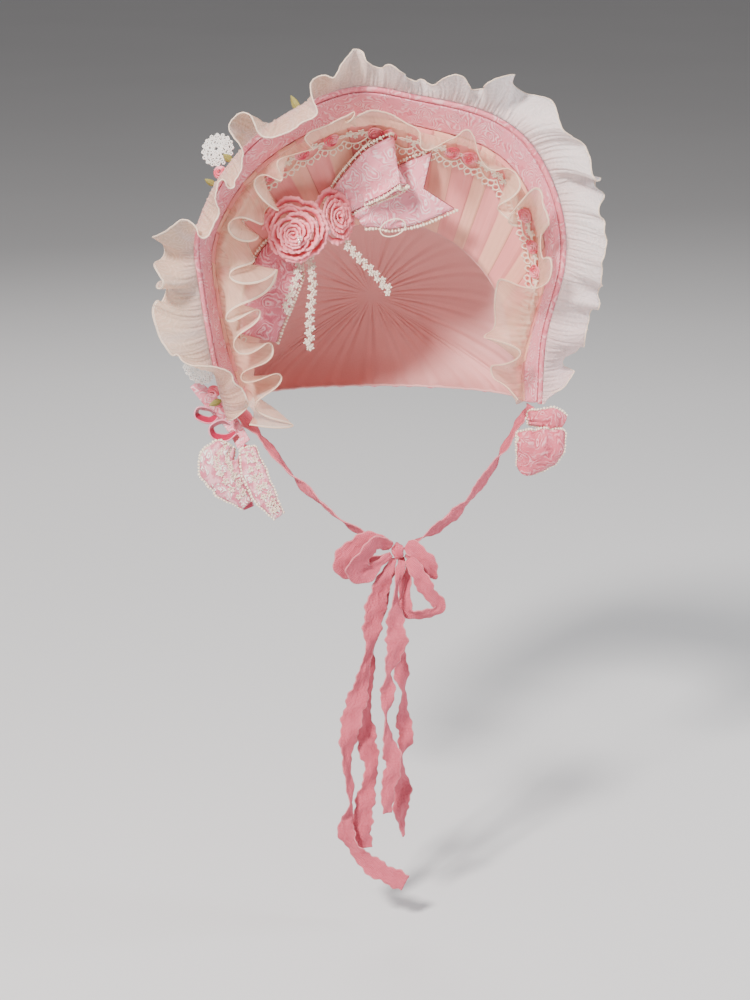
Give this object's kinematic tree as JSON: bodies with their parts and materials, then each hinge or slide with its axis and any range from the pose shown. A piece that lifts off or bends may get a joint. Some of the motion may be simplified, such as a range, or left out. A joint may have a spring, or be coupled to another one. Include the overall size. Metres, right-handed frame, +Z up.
{
  "type": "lolita bonnet",
  "caption": "Pink jacquard bonnet with a flared brim, gathered crown, layered sheer ruffles, rose and bow trims and muslin ties knotted under the chin.",
  "frame": {"origin": "top of the head seat, at the middle of the seam where the brim meets the crown, on the head's centre line", "axes": "+Z up, -Y out through the face opening, +X towards the viewer's right as seen from the front; the bonnet is held as it is worn"},
  "size_m": [0.3469, 0.2508, 0.6719],
  "materials": {
    "jacquard": "figured, slightly lustrous",
    "chiffon": "sheer, pleated",
    "crepe": "sheer, crinkled",
    "organza": "sheer, rolled hem",
    "ivory_lace": "matt guipure",
    "rose_ribbon": "crinkled ribbon",
    "rosebud_gimp": "matt braid",
    "crimson_satin": "satin",
    "leaf": "matt",
    "muslin": "matt, crinkled"
  },
  "bodies": {
    "root": {"bow_knot": "jacquard", "bow_left_tail": "jacquard", "bow_right_tail": "jacquard", "bow_upper_loop": "jacquard", "brim": "jacquard", "crown": "jacquard", "edge_piping": "jacquard", "facing_band": "jacquard", "inner_ruffle": "organza", "lace_flower_side": "ivory_lace", "lace_flower_top": "ivory_lace", "lace_rosebud_01": "rosebud_gimp", "lace_rosebud_02": "rosebud_gimp", "lace_rosebud_03": "rosebud_gimp", "lace_rosebud_04": "rosebud_gimp", "lace_rosebud_05": "rosebud_gimp", "lace_rosebud_06": "rosebud_gimp", "lace_rosebud_07": "rosebud_gimp", "lace_rosebud_08": "rosebud_gimp", "lace_rosebud_09": "rosebud_gimp", "lace_rosebud_10": "rosebud_gimp", "lace_rosebud_11": "rosebud_gimp", "lace_rosebud_12": "rosebud_gimp", "lace_rosebud_13": "rosebud_gimp", "lace_strand_a": "ivory_lace", "lace_strand_b": "ivory_lace", "lace_strand_c": "ivory_lace", "leaf_bud": "leaf", "leaf_crest_left": "leaf", "leaf_crest_right": "leaf", "leaf_side": "leaf", "leaf_top": "leaf", "left_bow_broad": "jacquard", "left_bow_fold": "crimson_satin", "left_bow_narrow": "jacquard", "left_bow_strap": "jacquard", "outer_ruffle": "crepe", "pleated_lining": "chiffon", "right_bow_lower": "jacquard", "right_bow_upper": "jacquard", "rose_lace": "ivory_lace", "rose_large": "rose_ribbon", "rose_small": "rose_ribbon", "rosebud_side": "rosebud_gimp", "rosebud_top": "rosebud_gimp", "satin_loop_lower": "crimson_satin", "satin_loop_upper": "crimson_satin", "streamer_back_left": "muslin", "streamer_left": "muslin", "streamer_middle": "muslin", "streamer_right": "muslin", "tie_knot": "muslin", "tie_left": "muslin", "tie_loop_front": "muslin", "tie_loop_left": "muslin", "tie_loop_low": "muslin", "tie_loop_right": "muslin", "tie_right": "muslin"}
  },
  "joints": []
}
